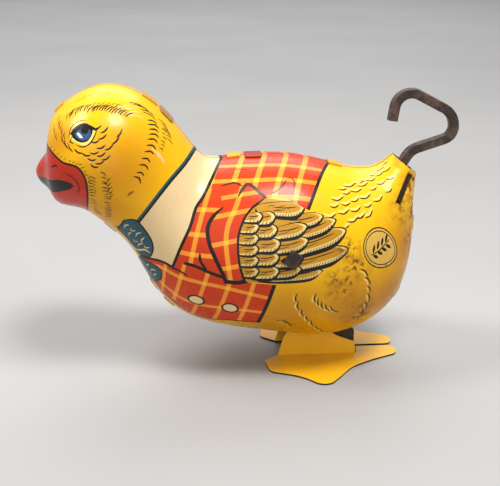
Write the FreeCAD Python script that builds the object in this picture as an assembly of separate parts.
import FreeCAD, Part
import math
import os
from FreeCAD import Placement, Rotation, Vector

# Wind-up tin chick, in millimetres.  The chick faces -X, its left side is -Y and it stands on Z = 0.
# Two pressed tin half shells meet on the plane Y = 0.  A crank rod runs down a tilted axis through
# the tail, carries a crown wheel, and the wheel's teeth rock two legs on a cross axle.

TIN = 0.4                   # sheet of the body halves
FOOT_TIN = 0.5              # sheet of the feet
STEEL = 0.8                 # sheet of the frame
LEG_STEEL = 1.0             # sheet of the legs
ROD = 2.4                   # crank rod, square outside and round on its journal
RUNNING = 0.05              # radial clearance of a running fit
TAB_GAP = 0.05              # air under a folded seam tab

# The crank axis leaves the tail at SHAFT_TOP and leans back from the vertical.
SHAFT_TOP = Vector(38.5, 0, 50.8)
SHAFT_TILT = 32.0

# Depths below SHAFT_TOP, measured down the crank axis.
BEARING_DEPTH = (1.7, 8.1)
COLLAR_DEPTH = (9.0, 11.6)
SPRING_DEPTH = (12.5, 30.6)
PLATE_DEPTH = 32.0
RATCHET_DEPTH = (33.9, 34.8)
CROWN_DEPTH = 35.3
TOOTH_DEPTH = (36.1, 38.3)
CAP_DEPTH = (36.3, 37.7)
SHAFT_END = 38.0
PALLET_DEPTH = (39.0, 41.4)
AXLE_DEPTH = 46.2

CROWN_RADIUS = 6.6
CROWN_TEETH = 11
RATCHET_TEETH = 12
AXLE_RADIUS = 1.1
FRAME_HALF = 8.2            # half width over the frame's two side cheeks
LEG_INNER = 3.1             # a leg's inner face from the middle plane
FOLD_LINE = LEG_INNER + LEG_STEEL + FOOT_TIN

# Body stations from the beak tip to the tail mouth.  Each is a section through the upper seam point
# (x, z), the lower seam point (x, z) and the half width between them.
STATIONS = [
    ((-52.45, 50.6), (-52.45, 49.3), 0.7),
    ((-51.6, 52.2), (-51.7, 47.7), 2.7),
    ((-50.4, 53.7), (-49.9, 46.1), 5.0),
    ((-49.3, 55.6), (-48.4, 44.4), 7.9),
    ((-48.8, 59.0), (-46.9, 42.4), 11.0),
    ((-47.6, 63.3), (-43.6, 41.5), 14.0),
    ((-44.4, 66.8), (-40.2, 40.6), 16.1),
    ((-39.4, 69.8), (-37.2, 38.3), 17.4),
    ((-33.5, 70.9), (-34.0, 35.4), 17.8),
    ((-27.5, 69.3), (-31.2, 32.3), 17.4),
    ((-22.4, 65.8), (-29.2, 29.2), 16.5),
    ((-18.3, 61.3), (-27.8, 26.3), 15.8),
    ((-15.2, 57.2), (-26.3, 23.3), 15.8),
    ((-12.0, 53.6), (-24.3, 19.8), 16.6),
    ((-8.3, 52.5), (-21.7, 16.5), 17.9),
    ((-3.0, 53.1), (-17.4, 13.0), 19.4),
    ((3.0, 53.3), (-10.9, 10.3), 20.5),
    ((9.5, 53.1), (-2.5, 8.5), 21.1),
    ((15.5, 52.0), (6.5, 7.1), 21.1),
    ((20.9, 50.6), (16.0, 5.9), 20.2),
    ((25.4, 49.5), (24.4, 6.8), 18.7),
    ((29.1, 49.3), (31.2, 9.8), 16.5),
    ((31.9, 50.0), (36.5, 14.6), 13.7),
    ((33.8, 51.2), (39.8, 21.8), 10.9),
    ((34.9, 52.1), (41.2, 31.0), 8.4),
    ((35.4, 52.5), (41.3, 40.5), 6.4),
    ((35.7, 52.8), (41.8, 48.1), 4.8),
]
SECTION_POINTS = 17

# Seam tabs: nearest seam point (x, z), rail (0 upper, 1 lower), side that owns it, length on the seam.
TABS = [
    (-45.7, 65.8, 0, "left", 3.0),
    (-24.2, 67.3, 0, "left", 4.2),
    (-20.3, 63.8, 0, "right", 4.4),
    (-4.0, 53.0, 0, "left", 3.2),
    (0.6, 53.2, 0, "right", 4.2),
    (21.0, 50.5, 0, "left", 3.4),
    (-34.8, 36.0, 1, "right", 4.0),
    (-24.6, 20.2, 1, "left", 3.4),
    (-20.8, 15.6, 1, "right", 3.6),
    (-4.0, 8.8, 1, "left", 4.0),
    (37.6, 16.6, 1, "right", 4.0),
    (41.2, 35.0, 1, "left", 4.0),
]

# The opening in the belly that the legs swing in.
BELLY_X = (6.5, 30.5)
BELLY_HALF = 7.4

FOOT_RIVETS = [(13.2, 4.6), (22.4, 3.6)]   # (x, z) of the rivets that hold a foot to its leg

NODES = {}


def unit(vector):
    """The vector at length 1."""
    return Vector(vector).normalize()


def on_shaft(shape):
    """Place a shape drawn about the crank axis: local Z runs up the axis, local X down and back."""
    placed = shape.copy()
    axis = Placement(SHAFT_TOP, Rotation(Vector(0, 1, 0), SHAFT_TILT))
    placed.Placement = axis.multiply(shape.Placement)
    return placed


def box(low, high):
    """A box between two corners."""
    size = [high[i] - low[i] for i in range(3)]
    return Part.makeBox(size[0], size[1], size[2], Vector(*low))


def rod(radius, low, high, at=(0, 0)):
    """A cylinder along local Z between two heights."""
    return Part.makeCylinder(radius, high - low, Vector(at[0], at[1], low))


def tube(outer, inner, low, high):
    """A ring along local Z between two heights."""
    return rod(outer, low, high).cut(rod(inner, low - 1, high + 1))


def cross_rod(radius, y_low, y_high, at):
    """A cylinder along Y through the local point (x, z)."""
    return Part.makeCylinder(radius, y_high - y_low, Vector(at[0], y_low, at[1]), Vector(0, 1, 0))


def rounded_outline(corners):
    """A closed wire through (x, y, radius) corners, each turned by a tangent arc."""
    points = [Vector(x, y, 0) for x, y, radius in corners]
    edges = []
    ends = []
    for i, (x, y, radius) in enumerate(corners):
        here = points[i]
        back = unit(points[i - 1] - here)
        ahead = unit(points[(i + 1) % len(points)] - here)
        half = back.getAngle(ahead) / 2
        reach = radius / math.tan(half)
        start = here + back * reach
        end = here + ahead * reach
        middle = here + unit(back + ahead) * (radius / math.sin(half) - radius)
        edges.append(Part.Arc(start, middle, end).toShape())
        ends.append((start, end))
    for i in range(len(ends)):
        leave = ends[i - 1][1]
        arrive = ends[i][0]
        if leave.distanceToPoint(arrive) > 1e-6:
            edges.append(Part.LineSegment(leave, arrive).toShape())
    return Part.Wire(Part.__sortEdges__(edges))


def sheet(corners, thickness):
    """A flat plate on local Z = 0 with a rounded outline."""
    return Part.Face(rounded_outline(corners)).extrude(Vector(0, 0, thickness))


def upright_sheet(corners, y_low, thickness):
    """A plate in the XZ plane: corners are (x, z, radius) and it grows towards +Y."""
    plate = sheet(corners, thickness)
    plate.rotate(Vector(0, 0, 0), Vector(1, 0, 0), 90)
    plate.translate(Vector(0, y_low + thickness, 0))
    return plate


def mirrored(shape):
    """The same piece on the other side of the middle plane."""
    return shape.mirror(Vector(0, 0, 0), Vector(0, 1, 0))


# ---------------------------------------------------------------- body shells

def rail_normal_share(rail, index, chord):
    """How squarely the section chord crosses a seam rail: 1 when it is at right angles to it."""
    before = STATIONS[max(index - 1, 0)][rail]
    after = STATIONS[min(index + 1, len(STATIONS) - 1)][rail]
    along = unit(Vector(after[0] - before[0], 0, after[1] - before[1]))
    return math.sqrt(max(0.2, 1 - along.dot(chord) ** 2))


def section(index, side, inset):
    """Points of one half section, from the upper seam round to the lower, inset by a wall."""
    (tx, tz), (bx, bz), half_width = STATIONS[index]
    top = Vector(tx, 0, tz)
    bottom = Vector(bx, 0, bz)
    chord = unit(bottom - top)
    before = STATIONS[max(index - 1, 0)]
    after = STATIONS[min(index + 1, len(STATIONS) - 1)]
    run = Vector((after[0][0] + after[1][0] - before[0][0] - before[1][0]) / 2, 0,
                 (after[0][1] + after[1][1] - before[0][1] - before[1][1]) / 2).Length
    slope = (after[2] - before[2]) / run
    top = top + chord * (inset / rail_normal_share(0, index, chord))
    bottom = bottom - chord * (inset / rail_normal_share(1, index, chord))
    half_width = half_width - inset * math.sqrt(1 + slope * slope)
    centre = (top + bottom) * 0.5
    reach = (top - bottom) * 0.5
    points = []
    for j in range(SECTION_POINTS):
        angle = math.pi * j / (SECTION_POINTS - 1)
        width = 0.0 if j in (0, SECTION_POINTS - 1) else half_width * math.sin(angle)
        points.append(centre + reach * math.cos(angle) + Vector(0, side * width, 0))
    return points


def skin(side, inset, first):
    """The smooth surface through the half sections from station `first` to the tail."""
    surface = Part.BSplineSurface()
    surface.interpolate([section(i, side, inset) for i in range(first, len(STATIONS))])
    return surface


def boundary(surface):
    """The four edges of a skin: beak arc, tail arc, upper rail, lower rail."""
    u1, u2, v1, v2 = surface.bounds()
    return (surface.uIso(u1).toShape(), surface.uIso(u2).toShape(),
            surface.vIso(v1).toShape(), surface.vIso(v2).toShape())


def line(start, end):
    """A straight edge."""
    return Part.LineSegment(start, end).toShape()


def solid_from(faces):
    """Sew faces into one closed solid with its inside inwards."""
    shell = Part.Shell(faces)
    shell.sewShape()
    solid = Part.Solid(Part.Shell(shell.Faces))
    if solid.Volume < 0:
        solid.reverse()
    return solid


def chord_of(arc):
    """The straight edge that closes a half section on the middle plane."""
    return line(arc.Vertexes[0].Point, arc.Vertexes[-1].Point)


def half_shell(side):
    """One pressed half: outer skin, inner skin, beak caps, and the rims on the seam and tail mouth."""
    outer = skin(side, 0.0, 0)
    inner = skin(side, TIN, 1)
    beak_o, tail_o, upper_o, lower_o = boundary(outer)
    beak_i, tail_i, upper_i, lower_i = boundary(inner)
    cap_o = chord_of(beak_o)
    cap_i = chord_of(beak_i)
    tail_top = line(tail_o.Vertexes[0].Point, tail_i.Vertexes[0].Point)
    tail_low = line(tail_o.Vertexes[-1].Point, tail_i.Vertexes[-1].Point)
    seam_edges = [upper_o, tail_top, upper_i, cap_i, lower_i, tail_low, lower_o, cap_o]
    seam_rim = Part.Face(Part.Wire(Part.__sortEdges__(seam_edges)))
    tail_rim = Part.Face(Part.Wire(Part.__sortEdges__([tail_o, tail_low, tail_i, tail_top])))
    caps = [Part.Face(Part.Wire([beak_o, cap_o])), Part.Face(Part.Wire([beak_i, cap_i]))]
    return solid_from([outer.toShape(), inner.toShape(), seam_rim, tail_rim] + caps)


def half_lump(side):
    """The half body as a full closed solid, for trimming pieces flush with the skin."""
    outer = skin(side, 0.0, 0)
    beak, tail, upper, lower = boundary(outer)
    beak_chord = chord_of(beak)
    tail_chord = chord_of(tail)
    middle = Part.Face(Part.Wire(Part.__sortEdges__([upper, tail_chord, lower, beak_chord])))
    caps = [Part.Face(Part.Wire([beak, beak_chord])), Part.Face(Part.Wire([tail, tail_chord]))]
    return solid_from([outer.toShape(), middle] + caps)


def seam_tab(surface, x, z, rail, side, length):
    """A small folded tab: rooted on its own half and lapped over the seam on to the other half."""
    u1, u2, v1, v2 = surface.bounds()
    v_seam = v2 if rail else v1
    seam = surface.vIso(v_seam)
    u = seam.parameter(Vector(x, 0, z))
    origin = seam.value(u)
    tangent = unit(seam.tangent(u)[0])
    outward = unit(tangent.cross(Vector(0, 1, 0)))
    inside = surface.value(u, (v1 + v2) / 2)
    if outward.dot(origin - inside) < 0:
        outward = outward * -1

    def skin_height(width):
        low, high = 0.0, 0.5
        for _ in range(30):
            share = (low + high) / 2
            point = surface.value(u, v_seam + (v1 - v2 if rail else v2 - v1) * share)
            if abs(point.y) < width:
                low = share
            else:
                high = share
        return (point - origin).dot(outward)

    profile = []
    for width, lift in ((-1.9, -0.15), (-0.3, -0.15), (0.0, TAB_GAP), (1.1, TAB_GAP), (2.2, TAB_GAP),
                        (3.2, TAB_GAP), (3.2, TAB_GAP + TIN), (2.2, TAB_GAP + TIN),
                        (1.1, TAB_GAP + TIN), (0.0, TAB_GAP + TIN), (-1.9, TIN)):
        profile.append((width, skin_height(abs(width)) + lift))
    corners = [origin + Vector(0, -side * width, 0) + outward * height - tangent * (length / 2)
               for width, height in profile]
    corners.append(corners[0])
    return Part.Face(Part.makePolygon(corners)).extrude(tangent * length)


def shell_cutters():
    """What the press tool punches out: belly opening, tail slots and the slots for the frame's ears."""
    belly = sheet([(BELLY_X[0], -BELLY_HALF, 2.5), (BELLY_X[1], -BELLY_HALF, 2.5),
                   (BELLY_X[1], BELLY_HALF, 2.5), (BELLY_X[0], BELLY_HALF, 2.5)], 14.0)
    tail_slot = on_shaft(box((1.2, -12, -BEARING_DEPTH[1] - 0.2), (2.3, 12, -BEARING_DEPTH[0] + 0.2)))
    ear_slot = on_shaft(box((-17.9, -25, -PLATE_DEPTH - STEEL - 0.2), (-14.1, 25, -PLATE_DEPTH + 0.2)))
    between_ears = box((-10, -17, 0), (60, 17, 60))
    return [belly, tail_slot, ear_slot.cut(between_ears)]


def build_shells():
    """Both halves with their own seam tabs and the punched openings."""
    for name, side in (("left", -1), ("right", 1)):
        shell = half_shell(side)
        surface = skin(side, 0.0, 0)
        for x, z, rail, owner, length in TABS:
            if owner == name:
                shell = shell.fuse(seam_tab(surface, x, z, rail, side, length))
        for cutter in shell_cutters():
            shell = shell.cut(cutter)
        NODES[name + "_shell"] = shell


# ------------------------------------------------------------- crank and shaft

def rod_section(at, along):
    """The square rod's cross section with eased edges, facing along a direction in the XZ plane."""
    half = ROD / 2
    ring = rounded_outline([(-half, -half, 0.4), (half, -half, 0.4), (half, half, 0.4),
                            (-half, half, 0.4)])
    ring.Placement = Placement(at, Rotation(Vector(0, 0, 1), along))
    return Part.Face(ring)


def bent_rod(corners):
    """A square rod through (x, z, bend radius) corners: straight runs joined by tangent bends."""
    points = [Vector(x, 0, z) for x, z, radius in corners]
    start = points[0]
    pieces = []
    for i in range(1, len(points)):
        along = unit(points[i] - points[i - 1])
        if i == len(points) - 1:
            pieces.append(rod_section(start, along).extrude(points[i] - start))
            break
        ahead = unit(points[i + 1] - points[i])
        turn = along.getAngle(ahead)
        radius = corners[i][2]
        bend_start = points[i] - along * (radius * math.tan(turn / 2))
        pieces.append(rod_section(start, along).extrude(bend_start - start))
        axis = unit(along.cross(ahead))
        centre = bend_start + axis.cross(along) * radius
        pieces.append(rod_section(bend_start, along).revolve(centre, axis, math.degrees(turn)))
        start = points[i] + ahead * (radius * math.tan(turn / 2))
    return pieces[0].multiFuse(pieces[1:])


def crank_handle():
    """The square rod outside the tail, bent to an open hook."""
    tilt = math.radians(SHAFT_TILT)
    foot = SHAFT_TOP - Vector(math.sin(tilt), 0, math.cos(tilt))
    return bent_rod([(foot.x, foot.z, 0), (40.3, 53.7, 5.0), (50.85, 57.1, 3.2), (50.55, 62.75, 5.0),
                     (36.55, 70.05, 4.0), (35.25, 61.2, 0)])


def build_crank():
    """The crank rod with its round journal, and what is fastened on it."""
    journal = on_shaft(rod(ROD / 2, -SHAFT_END, -0.9))
    pin_hole = on_shaft(cross_rod(0.5, -5, 5, (0, -sum(COLLAR_DEPTH) / 2)))
    NODES["winding_crank"] = crank_handle().fuse(journal).cut(pin_hole).removeSplitter()
    collar = on_shaft(tube(4.2, ROD / 2, -COLLAR_DEPTH[1], -COLLAR_DEPTH[0]))
    NODES["drive_collar"] = collar.cut(pin_hole)
    NODES["collar_pin"] = on_shaft(cross_rod(0.5, -4.5, 4.5, (0, -sum(COLLAR_DEPTH) / 2)))
    NODES["shaft_washer"] = on_shaft(tube(2.9, ROD / 2 + RUNNING, -PLATE_DEPTH - 1.7, -PLATE_DEPTH - 1.3))
    cap = tube(2.4, ROD / 2, -CAP_DEPTH[1], -CAP_DEPTH[0])
    NODES["retaining_cap"] = on_shaft(cap)


def ratchet_outline(teeth, root, tip, z):
    """A closed saw-tooth outline: each tooth climbs from root to tip and drops straight back."""
    points = []
    for i in range(teeth):
        start = 2 * math.pi * i / teeth
        end = 2 * math.pi * (i + 1) / teeth
        points.append(Vector(root * math.cos(start), root * math.sin(start), z))
        points.append(Vector(tip * math.cos(end), tip * math.sin(end), z))
    points.append(points[0])
    return Part.makePolygon(points)


def build_ratchet():
    """The one-way drive: a ratchet wheel on the shaft and a click leaf riveted to the crown wheel."""
    wheel = Part.Face(ratchet_outline(RATCHET_TEETH, 2.9, 3.6, -RATCHET_DEPTH[1]))
    wheel = wheel.extrude(Vector(0, 0, RATCHET_DEPTH[1] - RATCHET_DEPTH[0]))
    wheel = wheel.cut(rod(ROD / 2, -50, 0))
    NODES["ratchet_wheel"] = on_shaft(wheel)

    rivet_at = (-2.1, 4.5)
    low = -CROWN_DEPTH
    high = -RATCHET_DEPTH[0]
    leaf = sheet([(-2.5, 3.65, 0.3), (0.45, 3.9, 0.4), (1.44, 2.76, 0.08), (1.9, 3.45, 0.1),
                  (0.6, 5.0, 0.8), (-1.8, 5.55, 0.6)], high - low - 0.1)
    leaf.translate(Vector(0, 0, low + 0.1))
    boss = rod(1.1, low, high, rivet_at)
    hole = rod(0.6, -50, 0, rivet_at)
    NODES["click_leaf"] = on_shaft(leaf.fuse(boss).cut(hole).removeSplitter())
    rivet = rod(0.6, low, high + 0.1, rivet_at).fuse(rod(0.9, high, high + 0.3, rivet_at))
    NODES["click_rivet"] = on_shaft(rivet.removeSplitter())


def build_crown_wheel():
    """The crown wheel, whose saw teeth push the legs' pallets in turn."""
    wheel = tube(CROWN_RADIUS, ROD / 2 + RUNNING, -TOOTH_DEPTH[0], -CROWN_DEPTH)
    for i in range(CROWN_TEETH):
        root = -TOOTH_DEPTH[0] + 0.1
        tip = -TOOTH_DEPTH[1]
        profile = [Vector(CROWN_RADIUS - 0.8, y, z)
                   for y, z in ((-1.4, root), (0.9, root), (0.9, tip), (0.4, tip), (-1.4, root))]
        tooth = Part.Face(Part.makePolygon(profile)).extrude(Vector(0.9, 0, 0))
        tooth.rotate(Vector(0, 0, 0), Vector(0, 0, 1), i * 360.0 / CROWN_TEETH)
        wheel = wheel.fuse(tooth)
    rim = rod(CROWN_RADIUS, -TOOTH_DEPTH[1] - 1, -CROWN_DEPTH + 1)
    NODES["crown_wheel"] = on_shaft(wheel.common(rim).removeSplitter())


# -------------------------------------------------------------- frame and spring

def build_frame(half_width_at):
    """Bearing plate with two ears lapped over outside the shells, and two cheeks for the leg axle."""
    ear = FRAME_HALF + 11.6
    plate = sheet([(8.6, -FRAME_HALF, 1.5), (8.6, FRAME_HALF, 1.5), (-8.0, FRAME_HALF, 3.0),
                   (-13.4, ear, 1.0), (-18.4, ear, 1.0), (-18.4, -ear, 1.0), (-13.4, -ear, 1.0),
                   (-8.0, -FRAME_HALF, 3.0)], STEEL)
    plate.translate(Vector(0, 0, -PLATE_DEPTH - STEEL))
    plate = plate.cut(rod(2.2, -50, 0))
    frame = plate
    lap = half_width_at + 0.12
    for side in (-1, 1):
        cheek = upright_sheet([(-5.0, -PLATE_DEPTH - 0.1, 0.3), (5.0, -PLATE_DEPTH - 0.1, 0.3),
                               (2.6, -AXLE_DEPTH - 2.5, 2.4), (-2.6, -AXLE_DEPTH - 2.5, 2.4)],
                              FRAME_HALF - STEEL if side > 0 else -FRAME_HALF, STEEL)
        neck = box((-17.7, min(side * (ear - 1), side * (lap + STEEL)), -PLATE_DEPTH - STEEL),
                   (-14.3, max(side * (ear - 1), side * (lap + STEEL)), -PLATE_DEPTH))
        flap = upright_sheet([(-17.7, -PLATE_DEPTH - STEEL, 0.2), (-14.3, -PLATE_DEPTH - STEEL, 0.2),
                              (-14.4, -PLATE_DEPTH + 2.9, 0.4), (-17.5, -PLATE_DEPTH + 2.9, 0.4)],
                             lap if side > 0 else -lap - STEEL, STEEL)
        frame = frame.fuse(cheek).fuse(neck).fuse(flap)
    frame = frame.cut(cross_rod(AXLE_RADIUS, -12, 12, (0, -AXLE_DEPTH)))
    NODES["mechanism_frame"] = on_shaft(frame.removeSplitter())
    bush = tube(2.2, ROD / 2 + RUNNING, -PLATE_DEPTH - STEEL - 0.4, -PLATE_DEPTH + 0.3)
    bush = bush.fuse(tube(3.2, ROD / 2 + RUNNING, -PLATE_DEPTH, -PLATE_DEPTH + 0.6))
    NODES["lower_bush"] = on_shaft(bush.removeSplitter())


def build_upper_bearing(lump):
    """A strap across the tail, tangent to the shaft, with a curled eye; its ends fill the tail slots."""
    strap = box((1.35, -9, -BEARING_DEPTH[1]), (2.1, 9, -BEARING_DEPTH[0]))
    eye = rod(2.1, -BEARING_DEPTH[1], -BEARING_DEPTH[0])
    bearing = strap.fuse(eye).cut(rod(ROD / 2 + RUNNING, -50, 0))
    NODES["upper_bearing"] = on_shaft(bearing.removeSplitter()).common(lump)


def build_mainspring():
    """A helical torsion spring round the shaft, between the drive collar and the frame plate."""
    wire = 0.55
    radius = 5.2
    turns = 10
    height = SPRING_DEPTH[1] - SPRING_DEPTH[0] - 2 * wire
    path = Part.makeHelix(height / turns, height, radius)
    ring = Part.Wire(Part.makeCircle(wire, Vector(radius, 0, 0), Vector(0, 1, 0)))
    coil = path.makePipeShell([ring], True, True)
    coil.translate(Vector(0, 0, -SPRING_DEPTH[1] + wire))
    NODES["mainspring"] = on_shaft(coil)
    anchor = box((radius - 1.1, -1.2, -PLATE_DEPTH), (radius + 1.1, -0.2, -SPRING_DEPTH[1] + 1.4))
    NODES["spring_anchor"] = on_shaft(anchor)


# --------------------------------------------------------------- legs and feet

def axle_world():
    """The leg axle's point on the middle plane."""
    tilt = math.radians(SHAFT_TILT)
    return SHAFT_TOP - Vector(math.sin(tilt), 0, math.cos(tilt)) * AXLE_DEPTH


def build_axle():
    """The cross axle with its head and clip, and the spacers that keep the legs in place."""
    def across(radius, low, high, bore=0.0):
        piece = cross_rod(radius, low, high, (0, -AXLE_DEPTH))
        if bore:
            piece = piece.cut(cross_rod(bore, low - 1, high + 1, (0, -AXLE_DEPTH)))
        return on_shaft(piece)

    head = 1.8
    NODES["leg_axle"] = across(AXLE_RADIUS, -FRAME_HALF, FRAME_HALF + 0.9).fuse(
        across(head, -FRAME_HALF - 0.7, -FRAME_HALF))
    NODES["axle_clip"] = across(2.2, FRAME_HALF, FRAME_HALF + 0.5, AXLE_RADIUS)
    NODES["leg_spacer"] = across(2.0, -LEG_INNER + 0.1, LEG_INNER - 0.1, AXLE_RADIUS + RUNNING)
    outer = LEG_INNER + LEG_STEEL + 0.1
    cheek = FRAME_HALF - STEEL - 0.1
    NODES["cheek_spacers"] = Part.Compound([across(2.0, -cheek, -outer, AXLE_RADIUS + RUNNING),
                                            across(2.0, outer, cheek, AXLE_RADIUS + RUNNING)])


def right_leg():
    """A pressed steel leg: boss on the axle, arm up to its pallet, and a skirt for the foot."""
    axle = axle_world()
    arm = upright_sheet([(-2.0, -AXLE_DEPTH, 0.5), (2.0, -AXLE_DEPTH, 0.5), (1.6, -PALLET_DEPTH[0], 0.4),
                         (-1.6, -PALLET_DEPTH[0], 0.4)], LEG_INNER, LEG_STEEL)
    pallet = box((-0.45, LEG_INNER + 0.2, -PALLET_DEPTH[1]), (0.45, CROWN_RADIUS, -PALLET_DEPTH[0]))
    leg = on_shaft(arm.fuse(pallet))
    boss = cross_rod(3.0, LEG_INNER, LEG_INNER + LEG_STEEL, (axle.x, axle.z))
    skirt = upright_sheet([(9.6, 1.6, 0.8), (26.9, 1.6, 0.8), (27.0, 7.3, 1.6), (16.4, 12.5, 3.0),
                           (11.2, 12.0, 0.8), (9.9, 6.0, 3.0)], LEG_INNER, LEG_STEEL)
    leg = leg.fuse(boss).fuse(skirt)
    leg = leg.cut(cross_rod(AXLE_RADIUS + RUNNING, 0, 12, (axle.x, axle.z)))
    for hole in FOOT_RIVETS:
        leg = leg.cut(cross_rod(0.9, 0, 12, hole))
    return leg.removeSplitter()


# A foot's sole, (x, y, corner radius): two rounded toes, a heel, and the fold up to the leg.
SOLE = [(6.6, FOLD_LINE, 0.3), (3.2, 7.6, 2.2), (4.2, 13.9, 2.6), (11.6, 16.8, 14.0), (17.3, 23.2, 3.0),
        (21.6, 17.6, 14.0), (25.3, 12.4, 12.0), (31.5, 8.5, 14.0), (38.4, 5.3, 2.5), (38.3, 0.6, 2.2),
        (28.2, 0.6, 0.5), (27.6, FOLD_LINE, 0.3)]


def right_foot():
    """A tin foot: flat webbed sole with a wall folded up against the leg."""
    sole = sheet(SOLE, FOOT_TIN)
    wall = upright_sheet([(6.9, 0.0, 0.05), (27.3, 0.0, 0.05), (27.2, 3.6, 0.8), (22.6, 5.4, 4.0),
                          (18.6, 8.0, 2.0), (9.8, 8.0, 0.8), (8.2, 4.6, 3.0)],
                         FOLD_LINE - FOOT_TIN, FOOT_TIN)
    foot = sole.fuse(wall)
    for hole in FOOT_RIVETS:
        foot = foot.cut(cross_rod(0.9, 0, 12, hole))
    return foot.removeSplitter()


def right_rivets():
    """Rivets through the foot's wall and the leg: flush outside, with a flat head on the inner side."""
    rivets = []
    for hole in FOOT_RIVETS:
        shank = cross_rod(0.9, LEG_INNER - 0.3, FOLD_LINE, hole)
        head = cross_rod(1.3, LEG_INNER - 0.5, LEG_INNER, hole)
        rivets.append(shank.fuse(head).removeSplitter())
    return Part.Compound(rivets)


def build_legs():
    """The right leg, foot and rivets, and their mirror images."""
    for name, piece in (("leg", right_leg()), ("foot", right_foot()), ("foot_rivets", right_rivets())):
        NODES["right_" + name] = piece
        NODES["left_" + name] = mirrored(piece)


# --------------------------------------------------------------------- assembly

def main():
    """Build every piece and write one STEP file each."""
    build_shells()
    lump = half_lump(-1).fuse(half_lump(1))
    ear = on_shaft(box((-16.2, -30, -PLATE_DEPTH - 0.5), (-15.8, 30, -PLATE_DEPTH - 0.3)))
    half_width_at_ear = ear.common(lump).BoundBox.YMax
    build_frame(half_width_at_ear)
    build_upper_bearing(lump)
    build_crank()
    build_ratchet()
    build_crown_wheel()
    build_mainspring()
    build_axle()
    build_legs()
    os.makedirs("parts", exist_ok=True)
    for name, shape in NODES.items():
        shape.exportStep("parts/%s.step" % name)
        print("%-16s solids %d valid %s volume %.1f" % (name, len(shape.Solids), shape.isValid(),
                                                        shape.Volume))


main()
